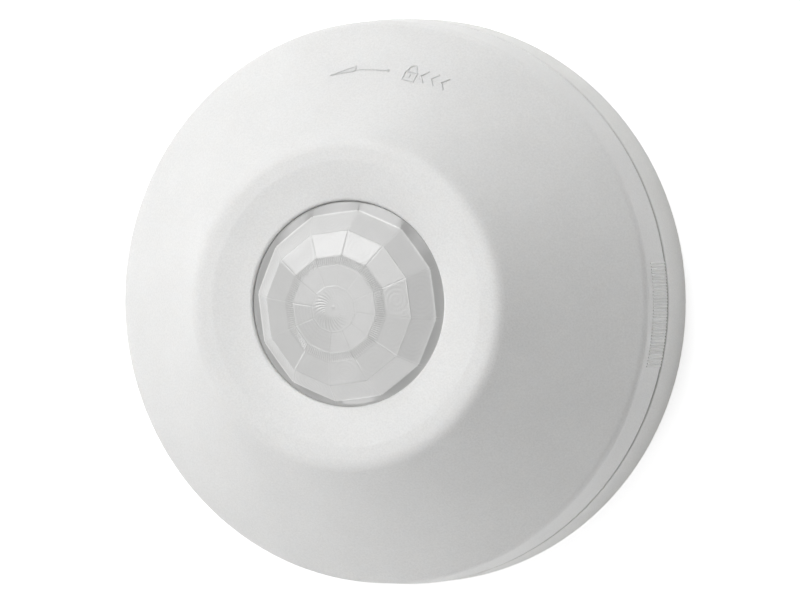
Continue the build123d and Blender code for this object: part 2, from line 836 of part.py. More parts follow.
def film_capacitor():
    """Potted box on two ribs that keep it off the board."""
    body_z = board_top_z + film_cap_foot_h
    body = block(film_cap_depth, film_cap_length, body_z, body_z + film_cap_h)
    body = round_top(round_upright_edges(body, film_cap_edge_round), film_cap_edge_round / 2)
    rib_y = film_cap_length / 2 - film_cap_edge_round - film_cap_foot_w / 2
    rib = block(film_cap_depth - 2 * film_cap_edge_round, film_cap_foot_w, board_top_z, body_z)
    body += [Pos(0, side * rib_y, 0) * rib for side in (-1, 1)]
    return placed(body, film_cap_place_r, film_cap_deg)


def electrolytic_capacitor():
    """Aluminium can with a rolled groove near its foot."""
    can = rod(electrolytic_r, board_top_z, board_top_z + electrolytic_h)
    can = round_top(can, electrolytic_round)
    middle_z = board_top_z + electrolytic_groove_z
    root_r = electrolytic_r - electrolytic_groove_depth
    groove = [(electrolytic_r + electrolytic_groove_depth, middle_z - electrolytic_groove_w)]
    groove += [(root_r, middle_z)]
    groove += [(electrolytic_r + electrolytic_groove_depth, middle_z + electrolytic_groove_w)]
    return placed(can - turned(*groove), electrolytic_place_r, electrolytic_deg)


def varistor():
    """Dipped disc standing on its two leads."""
    disc = extrude(Circle(varistor_r), amount=varistor_t / 2, both=True)
    disc = fillet(disc.edges().filter_by(GeomType.CIRCLE), varistor_round)
    middle_z = board_top_z + varistor_standoff + varistor_r
    lead = rod(varistor_lead_r, board_top_z, middle_z)
    body = Pos(0, 0, middle_z) * Rot(0, 90, 0) * disc
    body += [Pos(0, side * varistor_lead_spacing / 2, 0) * lead for side in (-1, 1)]
    return placed(body, varistor_place_r, varistor_deg)


def fuse():
    cap = round_top(rod(fuse_r, board_top_z, board_top_z + fuse_h), fuse_edge_round)
    waist = ring(fuse_r - fuse_base_step, fuse_r, board_top_z, board_top_z + fuse_base_h)
    return placed(cap - waist, fuse_place_r, fuse_deg)


def choke_core():
    top_z = board_top_z + choke_h
    core = rod(choke_post_r, board_top_z, top_z)
    core += rod(choke_flange_r, board_top_z, board_top_z + choke_flange_t)
    core += rod(choke_flange_r, top_z - choke_flange_t, top_z)
    return placed(core, choke_place_r, choke_deg)


def choke_winding():
    low_z = board_top_z + choke_flange_t
    high_z = board_top_z + choke_h - choke_flange_t
    winding = ring(choke_post_r, choke_winding_r, low_z, high_z)
    return placed(winding, choke_place_r, choke_deg)


# Head: small parts and controls


def microcontroller():
    low_z = board_top_z + chip_standoff
    body = block(chip_w, chip_w, low_z, low_z + chip_h)
    body = chamfer(body.faces().sort_by(Axis.Z)[-1].edges(), chip_edge_chamfer)
    reach = chip_w + 2 * chip_lead_reach
    lead = block(reach, chip_lead_w, board_top_z, board_top_z + chip_lead_t)
    middle = (chip_lead_count - 1) / 2
    row = [Pos(0, (i - middle) * chip_lead_spacing, 0) * lead for i in range(chip_lead_count)]
    leads = (Part() + row) + Rot(0, 0, 90) * (Part() + row)
    return placed(body + leads, chip_place_r, chip_deg)


def chip_parts():
    part = block(small_part_length, small_part_w, board_top_z, board_top_z + small_part_h)
    rows = zip(small_part_row_r, small_part_first_deg, small_part_step_deg)
    parts = []
    for radius, first, step in rows:
        parts += around(part, radius, [first + i * step for i in range(small_part_count)])
    return parts


def pot_body():
    body = block(pot_w, pot_w, board_top_z, board_top_z + pot_h)
    body = round_upright_edges(body, pot_edge_round)
    return body - rod(knob_r + running_clearance, pot_bore_z, board_top_z + pot_h)


def knob():
    """Turning knob with a fluted edge, a screwdriver slot and a broad end as its pointer."""
    low_z = pot_bore_z + running_clearance
    top_z = low_z + knob_h
    flute_z = board_top_z + pot_h + knob_flute_gap
    flute_angles = [i * 360 / knob_flute_count for i in range(knob_flute_count)]
    pointer = block(knob_pointer_length, knob_pointer_w, top_z - knob_slot_depth, top_z)
    body = rod(knob_r, low_z, top_z)
    body -= around(rod(knob_flute_r, flute_z, top_z), knob_r, flute_angles)
    body -= block(2 * knob_r, knob_slot_w, top_z - knob_slot_depth, top_z)
    return body - Pos(knob_r - knob_pointer_length / 2, 0, 0) * pointer


def dip_lanes(shape):
    """One copy of a shape in each lane of the switch block."""
    middle = (dip_count - 1) / 2
    return [Pos(0, (i - middle) * dip_spacing, 0) * shape for i in range(dip_count)]


def dip_switch():
    top_z = board_top_z + dip_h
    length = (dip_count - 1) * dip_spacing + dip_window_w + 2 * dip_end_margin
    window_length = dip_slider_length + dip_travel + 2 * running_clearance
    body = round_upright_edges(block(dip_depth, length, board_top_z, top_z), dip_edge_round)
    body -= dip_lanes(block(window_length, dip_window_w, dip_window_z, top_z))
    return placed(body, dip_place_r, dip_deg)


def dip_sliders():
    """Sliders at the inner end of their windows."""
    low_z = dip_window_z + running_clearance
    top_z = board_top_z + dip_h + dip_slider_proud
    slider = block(dip_slider_length, dip_window_w - 2 * running_clearance, low_z, top_z)
    slider = chamfer(slider.faces().sort_by(Axis.Z)[-1].edges(), dip_slider_chamfer)
    lanes = dip_lanes(Pos(-dip_travel / 2, 0, 0) * slider)
    return [placed(lane, dip_place_r, dip_deg) for lane in lanes]


# Assembly


def base_nodes():
    return {
        "mounting_base": mounting_base(),
        "contact_plates": group(around(contact_plate(), 0, lug_angles)),
        "clamp_washers": group(around(clamp_washer(), contact_screw_r, lug_angles)),
        "terminal_screws": group(around(terminal_screw(), contact_screw_r, lug_angles)),
    }


def head_nodes():
    holder_seat_z = board_top_z + holder_pad_t
    board_screws = around(head_screw(board_top_z), board_screw_r(), board_screw_angles)
    holder_screws = around(head_screw(holder_seat_z), holder_screw_r, holder_screw_angles)
    return {
        "sensor_chassis": sensor_chassis(),
        "contact_blades": group(around(contact_blade(), 0, lug_angles)),
        "circuit_board": circuit_board(),
        "board_screws": group(board_screws),
        "holder_screws": group(holder_screws),
        "lens_holder": lens_holder(),
        "lens_retainer": lens_retainer(),
        "fresnel_lens": fresnel_lens(),
        "pyro_sensor": pyro_sensor(),
        "pyro_window": pyro_window(),
        "sensor_spacer": sensor_spacer(),
        "motion_led": motion_led(),
        "photocell": photocell(),
        "relay": relay(),
        "film_capacitor": film_capacitor(),
        "electrolytic_capacitor": electrolytic_capacitor(),
        "varistor": varistor(),
        "fuse": fuse(),
        "choke_core": choke_core(),
        "choke_winding": choke_winding(),
        "microcontroller": microcontroller(),
        "chip_parts": group(chip_parts()),
        "dip_switch": dip_switch(),
    }


def control_nodes():
    nodes = {}
    for name, angle in adjuster_deg.items():
        nodes[f"{name}_pot"] = placed(pot_body(), adjuster_place_r, angle)
        nodes[f"{name}_knob"] = placed(knob(), adjuster_place_r, angle)
    for number, slider in enumerate(dip_sliders(), start=1):
        nodes[f"dip_slider_{number}"] = slider
    return nodes


def main():
    os.makedirs("parts", exist_ok=True)
    nodes = {**base_nodes(), **head_nodes(), "front_cover": front_cover(), **control_nodes()}
    for name, shape in nodes.items():
        export_step(shape, f"parts/{name}.step")


main()
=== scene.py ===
"""Ceiling motion sensor: camera, light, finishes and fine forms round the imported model."""

import math
import random

import bmesh
import bpy
from mathutils import Matrix, Vector
from mathutils.bvhtree import BVHTree


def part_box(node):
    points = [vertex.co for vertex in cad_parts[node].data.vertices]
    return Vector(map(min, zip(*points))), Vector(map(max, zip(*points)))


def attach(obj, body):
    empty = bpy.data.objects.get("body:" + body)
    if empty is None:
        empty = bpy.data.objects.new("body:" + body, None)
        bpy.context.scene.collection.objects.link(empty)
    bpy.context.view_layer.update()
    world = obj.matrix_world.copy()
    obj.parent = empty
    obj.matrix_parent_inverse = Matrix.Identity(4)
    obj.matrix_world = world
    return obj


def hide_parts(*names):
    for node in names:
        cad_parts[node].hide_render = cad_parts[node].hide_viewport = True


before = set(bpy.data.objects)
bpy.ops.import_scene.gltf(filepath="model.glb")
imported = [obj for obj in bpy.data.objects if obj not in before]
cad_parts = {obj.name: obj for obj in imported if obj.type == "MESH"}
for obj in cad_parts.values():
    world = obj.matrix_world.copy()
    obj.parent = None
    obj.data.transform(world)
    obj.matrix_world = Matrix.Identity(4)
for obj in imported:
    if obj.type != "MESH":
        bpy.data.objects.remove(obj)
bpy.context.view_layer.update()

MM = 0.001
UP = Vector((0, 0, 1))
SQUARE = ((-1, -1), (1, -1), (1, 1), (-1, 1))


# Tools for materials


def paint(red, green, blue):
    """Linear colour of a swatch given as display levels from 0 to 255."""
    return [*[(level / 255) ** 2.2 for level in (red, green, blue)], 1.0]


def dimmed(colour, share):
    """The same colour with its light cut to a share."""
    return [*[channel * share for channel in colour[:3]], 1.0]


class Finish:
    """Node material drawn in its piece's own coordinates, so that it stays put when the piece moves."""

    def __init__(self, name, **values):
        self.material = bpy.data.materials.new(name)
        self.material.use_nodes = True
        self.tree = self.material.node_tree
        self.shader = self.tree.nodes["Principled BSDF"]
        self.place = self.add("ShaderNodeTexCoord").outputs["Object"]
        self.set(**values)

    def set(self, **values):
        """Set or link sockets of the main shader, named with underscores for spaces."""
        self.plug(self.shader, {key.replace("_", " "): value for key, value in values.items()})
        return self

    def plug(self, node, inputs):
        """Set or link sockets of a node."""
        for key, value in inputs.items():
            if isinstance(value, bpy.types.NodeSocket):
                self.tree.links.new(value, node.inputs[key])
            else:
                node.inputs[key].default_value = value

    def add(self, kind, inputs=None, **settings):
        """New node of a kind, with its inputs and settings."""
        node = self.tree.nodes.new(kind)
        for key, value in settings.items():
            setattr(node, key, value)
        self.plug(node, inputs or {})
        return node

    def parts(self, place=None):
        """The x, y and z of a place."""
        split = self.add("ShaderNodeSeparateXYZ", {0: place or self.place})
        return [split.outputs[axis] for axis in range(3)]

    def noise(self, size, detail=2.0, stretch=(1, 1, 1)):
        """Soft noise from 0 to 1 whose patches are about a size across, in metres."""
        squeeze = self.add("ShaderNodeMapping", {"Vector": self.place, "Scale": stretch})
        inputs = {"Vector": squeeze.outputs[0], "Scale": 1 / size, "Detail": detail}
        return self.add("ShaderNodeTexNoise", inputs).outputs[0]

    def cells(self, size):
        """Distance field of scattered cells about a size across."""
        inputs = {"Vector": self.place, "Scale": 1 / size}
        return self.add("ShaderNodeTexVoronoi", inputs).outputs["Distance"]

    def sums(self, operation, first, second=0.0):
        """Result of an arithmetic operation."""
        node = self.add("ShaderNodeMath", {0: first, 1: second}, operation=operation)
        return node.outputs[0]

    def remap(self, value, low, high, to_low=0.0, to_high=1.0):
        """A value carried from one range to another and held at its ends."""
        inputs = {"Value": value, "From Min": low, "From Max": high, "To Min": to_low, "To Max": to_high}
        return self.add("ShaderNodeMapRange", inputs).outputs[0]

    def mix(self, share, first, second):
        """Colour that runs from the first to the second as a share goes from 0 to 1."""
        node = self.add("ShaderNodeMix", data_type="RGBA")
        self.plug(node, {0: share, 6: first, 7: second})
        return node.outputs[2]

    def bump(self, height, depth, below=None):
        """Normal from a height field of a depth in metres, laid over another normal."""
        inputs = {"Height": height, "Distance": depth}
        if below is not None:
            inputs["Normal"] = below
        return self.add("ShaderNodeBump", inputs).outputs[0]


# Share of the colour left in the pits of the grain: painted shade in the hollows of the grain.
PIT_PAINTED_SHADE = 0.92
FLOW_SHADE = 0.97
SOAK_DEPTH = 1.2 * MM
STAIN_SHADE = 0.75


def moulded(name, colour, roughness, grain=0.45 * MM, grain_depth=0.012 * MM):
    """Moulded plastic: spark-eroded grain whose pits are painted darker as painted shade, flow mottling and a
    slightly uneven gloss.
    """
    finish = Finish(name, Specular_IOR_Level=0.5, Subsurface_Weight=0.5, Subsurface_Scale=SOAK_DEPTH)
    finish.set(Subsurface_Radius=(1.0, 0.95, 0.9))
    mottle = finish.noise(14 * MM, detail=3)
    grain_height = finish.noise(grain, detail=3)
    speck = finish.remap(grain_height, 0.3, 0.7)
    flow = finish.remap(mottle, 0.35, 0.65)
    mottled = finish.mix(flow, colour, dimmed(colour, FLOW_SHADE))
    # Painted shade in the pits: the low places of the grain's bump are painted darker.
    pits = finish.mix(flow, dimmed(colour, PIT_PAINTED_SHADE), dimmed(colour, PIT_PAINTED_SHADE * FLOW_SHADE))
    finish.set(Base_Color=finish.mix(speck, pits, mottled))
    finish.set(Roughness=finish.remap(speck, 0, 1, roughness - 0.05, roughness + 0.07))
    wave = finish.bump(mottle, 0.02 * MM)
    return finish.set(Normal=finish.bump(grain_height, grain_depth, wave))


def milky(name, inner, middle, outer):
    """Milky lens plastic under a satin skin, painted palest in its outermost facets to make up for the light
    their steep slopes miss, with painted shade on the ledge round them.

    Light soaks through it, so that its body shades as if its facets leaned less than they do,
    and the facets that lean away from the lamps get a painted glow, an emission standing in for light that
    comes through.
    """
    finish = Finish(name, Specular_IOR_Level=0.0, Coat_Weight=1.0, Coat_IOR=1.7)
    cloud = finish.noise(3 * MM, detail=4)
    wave = finish.noise(1.6 * MM, detail=1)
    z = finish.parts()[2]
    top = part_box("fresnel_lens")[1].z
    clouded = finish.remap(cloud, 0.3, 0.7)
    body = finish.mix(clouded, inner, dimmed(inner, 0.96))
    # The ledge under the wall gets painted shade, as if the cover's hole shadowed it.
    ledge_painted_shade = dimmed(outer, LENS_LEDGE_PAINTED_SHADE)
    for (_, drop), tone in ((LENS_RINGS[2], middle), (LENS_RINGS[1], outer), (LENS_RINGS[0], ledge_painted_shade)):
        step_top = top - (drop + LENS_TONE_STEP[0]) * MM
        step_foot = top - (drop + LENS_TONE_STEP[1]) * MM
        toned = finish.mix(clouded, tone, dimmed(tone, 0.97))
        body = finish.mix(finish.remap(z, step_top, step_foot), body, toned)
    finish.set(Base_Color=body)
    finish.set(Roughness=0.6, Coat_Roughness=LENS_GLOSS)
    true_normal = finish.add("ShaderNodeNewGeometry").outputs["Normal"]
    lean = finish.add("ShaderNodeMix", {0: LENS_SOAK, 4: true_normal, 5: UP}, data_type="VECTOR")
    soft = finish.add("ShaderNodeVectorMath", {0: lean.outputs[1]}, operation="NORMALIZE")
    finish.set(Normal=soft.outputs[0])
    # Painted glow: the lens emits light on the facets that lean away from the lamps, though it is no lamp.
    side = Vector((math.cos(LENS_PAINTED_GLOW_SIDE), math.sin(LENS_PAINTED_GLOW_SIDE), 0))
    away = finish.add("ShaderNodeVectorMath", {0: true_normal, 1: side}, operation="DOT_PRODUCT")
    painted_glow_lean = finish.sums("MAXIMUM", away.outputs["Value"])
    finish.set(Emission_Strength=finish.sums("MULTIPLY", finish.sums("POWER", painted_glow_lean, 2.0), LENS_PAINTED_GLOW))
    finish.set(Emission_Color=outer)
    return finish.set(Coat_Normal=finish.bump(wave, 0.012 * MM))


def smooth_case(name, colour, roughness=0.3, tint=0.8):
    """Glossy moulded or dipped case: sink marks, clouded colour and a few specks of dust."""
    finish = Finish(name, Specular_IOR_Level=0.5)
    cloud = finish.noise(4 * MM, detail=3)
    fine = finish.noise(0.3 * MM, detail=3)
    dust = finish.remap(finish.cells(0.9 * MM), 0.05, 0.1, 0.35, 0.0)
    worn = finish.mix(finish.remap(cloud, 0.35, 0.65), colour, dimmed(colour, tint))
    finish.set(Base_Color=finish.mix(dust, worn, paint(180, 178, 172)))
    finish.set(Roughness=finish.remap(fine, 0.3, 0.7, roughness - 0.06, roughness + 0.1))
    return finish.set(Normal=finish.bump(fine, 0.004 * MM, finish.bump(cloud, 0.05 * MM)))


def metal(name, colour, roughness, stretch=(1, 1, 9)):
    """Rolled, turned or plated metal: fine drawn lines, a cloudy gloss and faint stains."""
    finish = Finish(name, Metallic=1.0)
    lines = finish.noise(0.6 * MM, detail=4, stretch=stretch)
    cloud = finish.noise(3 * MM, detail=4)
    stain = finish.remap(cloud, 0.45, 0.75)
    finish.set(Base_Color=finish.mix(stain, colour, dimmed(colour, STAIN_SHADE)))
    finish.set(Roughness=finish.remap(lines, 0.3, 0.7, roughness - 0.07, roughness + 0.12))
    return finish.set(Normal=finish.bump(lines, 0.004 * MM))


def fired(name, colour, speck, speck_size=0.25 * MM, roughness=0.5):
    """Fired or ground ceramic: scattered grains of a second colour and a dry, even surface."""
    finish = Finish(name)
    grains = finish.cells(speck_size)
    fine = finish.noise(0.12 * MM, detail=3)
    finish.set(Base_Color=finish.mix(finish.remap(grains, 0.2, 0.5), speck, colour))
    finish.set(Roughness=finish.remap(fine, 0.3, 0.7, roughness - 0.1, roughness + 0.1))
    return finish.set(Normal=finish.bump(fine, 0.006 * MM))


def solder_mask(name):
    """Green lacquer over copper: buried track texture, glass weave and bare laminate on the edges."""
    finish = Finish(name, Specular_IOR_Level=0.5, Coat_Weight=0.3, Coat_Roughness=0.2)
    warp = finish.noise(0.5 * MM, stretch=(1, 6, 1))
    weft = finish.noise(0.5 * MM, stretch=(6, 1, 1))
    weave = finish.sums("ADD", warp, weft)
    cloud = finish.noise(9 * MM, detail=3)
    lacquer = finish.mix(finish.remap(cloud, 0.3, 0.7), paint(22, 92, 54), paint(16, 74, 44))
    lacquer = finish.mix(finish.remap(weave, 0.8, 1.2), lacquer, paint(28, 104, 60))
    normal = finish.add("ShaderNodeNewGeometry").outputs["True Normal"]
    facing = finish.sums("ABSOLUTE", finish.parts(normal)[2])
    laminate = finish.mix(finish.remap(weave, 0.8, 1.2), paint(196, 186, 132), paint(170, 160, 108))
    finish.set(Base_Color=finish.mix(finish.remap(facing, 0.4, 0.6), laminate, lacquer))
    finish.set(Roughness=finish.remap(weave, 0.8, 1.2, 0.28, 0.42))
    return finish.set(Normal=finish.bump(weave, 0.008 * MM))


def tinted_clear(name, colour):
    """Clear tinted resin with flow lines inside."""
    finish = Finish(name, Transmission_Weight=0.75, IOR=1.5, Specular_IOR_Level=0.5)
    flow = finish.noise(0.8 * MM, detail=3, stretch=(1, 1, 0.3))
    finish.set(Base_Color=finish.mix(finish.remap(flow, 0.3, 0.7), colour, dimmed(colour, 0.7)))
    return finish.set(Roughness=finish.remap(flow, 0.3, 0.7, 0.06, 0.16))


# Camera

VIEW_SWING = math.radians(21.26)
VIEW_RISE = math.radians(1.79)
VIEW_ROLL = math.radians(2.11)
VIEW_DISTANCE = 1.283
VIEW_LENS = 284.7
VIEW_AIM = Vector((-3.25 * MM, 0.02 * MM, 2.4 * MM))


def add_camera():
    """Camera at a swing, rise and roll round the point it looks at, in front of the lens."""
    level = math.cos(VIEW_RISE)
    towards = Vector((math.sin(VIEW_SWING) * level, math.sin(VIEW_RISE), math.cos(VIEW_SWING) * level))
    right = Vector((0, 1, 0)).cross(towards).normalized()
    above = towards.cross(right)
    rolled_right = math.cos(VIEW_ROLL) * right + math.sin(VIEW_ROLL) * above
    rolled_above = towards.cross(rolled_right)
    data = bpy.data.cameras.new("camera")
    data.lens = VIEW_LENS
    data.clip_start = 0.05
    camera = bpy.data.objects.new("camera", data)
    camera.matrix_world = Matrix.Translation(VIEW_AIM + VIEW_DISTANCE * towards) @ Matrix(
        (rolled_right, rolled_above, towards)
    ).transposed().to_4x4()
    bpy.context.scene.collection.objects.link(camera)
    bpy.context.scene.camera = camera


# Light

WORLD_GLOW = 0.06
FLOOR_GLOW = 0.36
FLOOR_SEEN_GLOW = 0.26
# Azimuth and elevation in degrees, then distance, width and height in metres, then power in watts.
LAMPS = {
    "key": (124, 45, 1.2, 1.15, 0.7, 6.9),
    "over": (128, 69, 1.5, 1.5, 1.5, 12.7),
    "lower_fill": (250, 30, 1.2, 0.6, 0.6, 3.9),
    "right_fill": (2, 4, 1.2, 0.5, 0.4, 0.4),
}


def softbox(name, azimuth, elevation, distance, width, height, power):
    """Area lamp that faces the object from an azimuth and elevation in degrees."""
    data = bpy.data.lights.new(name, "AREA")
    data.shape = "RECTANGLE"
    data.size = width
    data.size_y = height
    data.energy = power
    lamp = bpy.data.objects.new(name, data)
    side = math.radians(azimuth)
    rise = math.radians(elevation)
    towards = Vector((math.cos(side) * math.cos(rise), math.sin(side) * math.cos(rise), math.sin(rise)))
    lamp.location = towards * distance
    lamp.rotation_euler = towards.to_track_quat("Z", "Y").to_euler()
    bpy.context.scene.collection.objects.link(lamp)


def add_world(strength):
    """Even light from all round, seen by the camera as a white backdrop."""
    world = bpy.data.worlds.new("studio")
    world.use_nodes = True
    bpy.context.scene.world = world
    nodes = world.node_tree.nodes
    links = world.node_tree.links
    light = nodes["Background"]
    light.inputs["Color"].default_value = (1, 1, 1, 1)
    light.inputs["Strength"].default_value = strength
    seen = nodes.new("ShaderNodeBackground")
    seen.inputs["Color"].default_value = (1, 1, 1, 1)
    seen.inputs["Strength"].default_value = 1.0
    path = nodes.new("ShaderNodeLightPath")
    choose = nodes.new("ShaderNodeMixShader")
    links.new(path.outputs["Is Camera Ray"], choose.inputs[0])
    links.new(light.outputs[0], choose.inputs[1])
    links.new(seen.outputs[0], choose.inputs[2])
    links.new(choose.outputs[0], nodes["World Output"].inputs["Surface"])


def add_floor():
    """Pale sheet that the back of the base lies on."""
    half = 3.0
    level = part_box("mounting_base")[0].z
    mesh = bpy.data.meshes.new("floor")
    corners = [(x * half, y * half, level - 0.02 * MM) for x, y in SQUARE]
    mesh.from_pydata(corners, [], [(0, 1, 2, 3)])
    floor = bpy.data.objects.new("floor", mesh)
    finish = Finish("floor_paper", Base_Color=paint(240, 240, 240), Roughness=0.9)
    seen = finish.add("ShaderNodeLightPath").outputs["Is Camera Ray"]
    strength = finish.remap(seen, 0, 1, FLOOR_GLOW, FLOOR_GLOW + FLOOR_SEEN_GLOW)
    glow = finish.add("ShaderNodeEmission", {"Color": (1, 1, 1, 1), "Strength": strength})
    lift = finish.add("ShaderNodeAddShader", {0: finish.shader.outputs[0], 1: glow.outputs[0]})
    finish.plug(finish.tree.nodes["Material Output"], {"Surface": lift.outputs[0]})
    mesh.materials.append(finish.material)
    bpy.context.scene.collection.objects.link(floor)


# Finishes

LENS_SOAK = 0.78
LENS_GLOSS = 0.15
# Strength and side of the lens's painted glow, an emission on the facets that lean away from the lamps.
LENS_PAINTED_GLOW = 0.36
LENS_PAINTED_GLOW_SIDE = math.radians(305)
# Share of the outer tone left on the ledge: painted shade where the cover's hole shadows it.
LENS_LEDGE_PAINTED_SHADE = 0.54
# Drop below a ring, in millimetres, over which the lens changes its painted tone: paler towards the wall as
# painted light, and painted shade on the ledge.
LENS_TONE_STEP = (0.02, 0.12)
# Corner radius and drop below the tip of each ring of the lens, in millimetres, from its wall inwards.
LENS_RINGS = ((18.9, 7.3), (15.4, 3.05), (10.7, 1.45), (8.8, 0.72), (4.6, 0.3), (1.5, 0.0))

# Size and depth of the grain of the cover and base, and the stretch of metal that isn't drawn one way.
SHELL_GRAIN = (0.36 * MM, 0.045 * MM)
EVEN = (1, 1, 1)

FINISHES = {
    "cover_plastic": moulded("cover_plastic_finish", paint(240, 240, 239), 0.5, *SHELL_GRAIN),
    "base_plastic": moulded("base_plastic_finish", paint(238, 238, 236), 0.5, *SHELL_GRAIN),
    "chassis_plastic": moulded("chassis_plastic_finish", paint(226, 226, 223), 0.42, 0.6 * MM),
    "holder_plastic": moulded("holder_plastic_finish", paint(240, 240, 238), 0.38, 0.6 * MM),
    # Inner, middle and outer tones of the lens: the paler outer one is painted light on the steep facets near
    # the wall.
    "lens_plastic": milky(
        "lens_plastic_finish", paint(206, 206, 205), paint(213, 213, 212), paint(236, 236, 235)
    ),
    "board_green": solder_mask("board_green_finish"),
    "board_ink": smooth_case("board_ink_finish", paint(226, 226, 220), 0.55, tint=0.94),
    "board_track": smooth_case("board_track_finish", paint(40, 122, 72), 0.3),
    "solder": metal("solder_finish", paint(214, 214, 216), 0.3, EVEN),
    "contact_brass": metal("contact_brass_finish", paint(226, 190, 120), 0.28),
    "screw_steel": metal("screw_steel_finish", paint(206, 208, 214), 0.3, EVEN),
    "can_metal": metal("can_metal_finish", paint(214, 212, 204), 0.25, (1, 1, 12)),
    "window_filter": smooth_case("window_filter_finish", paint(46, 40, 52), 0.1),
    "spacer_black": moulded("spacer_black_finish", paint(34, 34, 35), 0.5),
    "led_red": tinted_clear("led_red_finish", paint(226, 60, 50)),
    "photocell_clay": fired(
        "photocell_clay_finish", paint(206, 150, 112), paint(176, 112, 76), roughness=0.3
    ),
    "relay_case": smooth_case("relay_case_finish", paint(52, 84, 150), 0.32),
    "film_case": smooth_case("film_case_finish", paint(222, 190, 74), 0.35),
    "can_sleeve": smooth_case("can_sleeve_finish", paint(44, 48, 62), 0.25),
    "bare_can": metal("bare_can_finish", paint(214, 215, 218), 0.32, EVEN),
    "varistor_blue": smooth_case("varistor_blue_finish", paint(62, 100, 168), 0.3),
    "fuse_brown": smooth_case("fuse_brown_finish", paint(104, 66, 48), 0.4),
    "ferrite": fired("ferrite_finish", paint(62, 62, 64), paint(92, 92, 96)),
    "winding_copper": metal("winding_copper_finish", paint(206, 122, 80), 0.25),
    "chip_black": moulded("chip_black_finish", paint(44, 44, 46), 0.45, 0.2 * MM, 0.006 * MM),
    "small_parts": fired("small_parts_finish", paint(176, 150, 122), paint(150, 124, 98), 0.12 * MM),
    "chip_ends": metal("chip_ends_finish", paint(210, 210, 212), 0.35, EVEN),
    "pot_case": smooth_case("pot_case_finish", paint(56, 104, 176), 0.3),
    "knob_white": moulded("knob_white_finish", paint(232, 230, 222), 0.4),
    "switch_case": smooth_case("switch_case_finish", paint(190, 44, 40), 0.32),
    "slider_white": moulded("slider_white_finish", paint(234, 234, 230), 0.4),
}


def dress_frame():
    """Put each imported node's finish on it."""
    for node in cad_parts.values():
        for place in node.material_slots:
            place.material = FINISHES[place.material.name].material


# Tools for forms


def polar(radius, angle, z=0.0):
    """Point in metres from a radius and height in millimetres and an angle in degrees."""
    turn = math.radians(angle)
    return Vector((radius * math.cos(turn), radius * math.sin(turn), z)) * MM


def arc(centre, radius, first, last, steps=24):
    """Points along an arc, with the centre and radius in millimetres and the angles in degrees."""
    middle = Vector((*centre, 0)) * MM
    return [middle + polar(radius, first + (last - first) * i / steps) for i in range(steps + 1)]


def new_piece(name, points, faces, finish, body, *replaced):
    """Mesh piece in a named finish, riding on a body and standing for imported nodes."""
    mesh = bpy.data.meshes.new(name)
    mesh.from_pydata([tuple(point) for point in points], [], faces)
    work = bmesh.new()
    work.from_mesh(mesh)
    bmesh.ops.recalc_face_normals(work, faces=work.faces)
    work.to_mesh(mesh)
    work.free()
    mesh.materials.append(FINISHES[finish].material)
    piece = bpy.data.objects.new(name, mesh)
    bpy.context.scene.collection.objects.link(piece)
    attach(piece, body)
    if replaced:
        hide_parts(*replaced)
    return piece


def soften(piece, width, segments=2):
    """Round the sharp edges of a piece."""
    rounding = piece.modifiers.new("rounding", "BEVEL")
    rounding.width = width
    rounding.segments = segments
    rounding.limit_method = "ANGLE"
    rounding.angle_limit = math.radians(35)


def tube_faces(rings, around, closed=False):
    """Quads over rings of points that are each as many around, with caps on an open tube."""
    faces = []
    for ring in range(rings if closed else rings - 1):
        here = ring * around
        there = (ring + 1) % rings * around
        for i in range(around):
            ahead = (i + 1) % around
            faces.append((here + i, here + ahead, there + ahead, there + i))
    if not closed:
        faces.append(tuple(range(around)))
        faces.append(tuple(range((rings - 1) * around, rings * around)))
    return faces


# Raised lines: how far their foot goes into the ground, and their section as shares of width and height.
STROKE_SUNK = 0.06 * MM
STROKE_SECTION = ((-0.5, 0), (-0.5, 0.6), (-0.28, 1), (0.28, 1), (0.5, 0.6), (0.5, 0))


def stroke(path, width, height, ground):
    """Points and faces of a raised line along a path over the ground, with bevelled shoulders."""
    closed = (path[0] - path[-1]).length < 1e-7
    spine = path[:-1] if closed else path
    points = []
    for i, place in enumerate(spine):
        before = spine[i - 1] if closed or i else place
        after = spine[(i + 1) % len(spine)] if closed or i + 1 < len(spine) else place
        along = (after - before).normalized()
        across = Vector((-along.y, along.x, 0))
        for side, rise in STROKE_SECTION:
            spot = place + across * side * width
            points.append((spot.x, spot.y, ground(spot) + (rise * height if rise else -STROKE_SUNK)))
    return points, tube_faces(len(spine), len(STROKE_SECTION), closed)


def strokes(name, paths, width, height, ground, finish, body):
    """One piece made of raised lines along several paths."""
    points = []
    faces = []
    for path in paths:
        new_points, new_faces = stroke(path, width, height, ground)
        faces += [tuple(corner + len(points) for corner in face) for face in new_faces]
        points += new_points
    return new_piece(name, points, faces, finish, body)


def box_points(half_x, half_y, low, high, taper=0.0):
    """Corners of a box about the upright axis whose top may be drawn in."""
    points = [Vector((x * half_x, y * half_y, low)) for x, y in SQUARE]
    return points + [Vector((x * (half_x - taper), y * (half_y - taper), high)) for x, y in SQUARE]


BOX_FACES = [(0, 1, 2, 3), (4, 5, 6, 7), (0, 1, 5, 4), (1, 2, 6, 5), (2, 3, 7, 6), (3, 0, 4, 7)]


